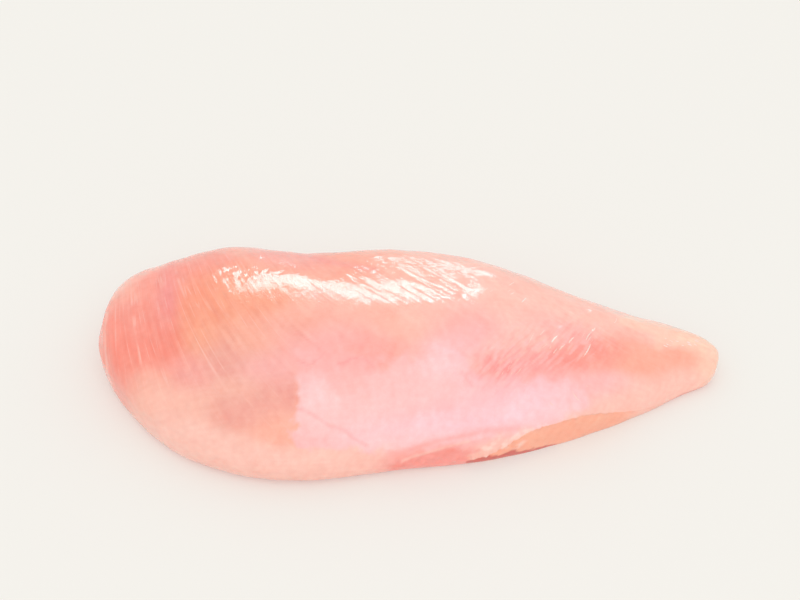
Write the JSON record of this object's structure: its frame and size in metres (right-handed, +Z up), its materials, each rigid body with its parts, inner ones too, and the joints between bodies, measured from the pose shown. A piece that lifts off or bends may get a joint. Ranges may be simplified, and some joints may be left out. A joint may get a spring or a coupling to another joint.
{
  "type": "boneless chicken breast",
  "caption": "Raw skinless boneless chicken breast, a plump teardrop of meat with a thick shoulder end, a thin tail tip and a flat underside to lie on.",
  "frame": {"origin": "middle of the lower face of the bounding box, on the surface that the breast lies on", "axes": "+X along the breast, from the thick shoulder end to the thin tail tip; +Y from the thin belly edge to the steep breastbone edge; +Z up, out of the smooth side"},
  "size_m": [0.185, 0.0788, 0.034],
  "materials": {
    "raw_meat": "moist raw chicken flesh, pink with peach, salmon and cream areas, fine pale muscle fibres and a thin shiny membrane"
  },
  "bodies": {
    "root": {"chicken_breast": "raw_meat"}
  },
  "joints": []
}
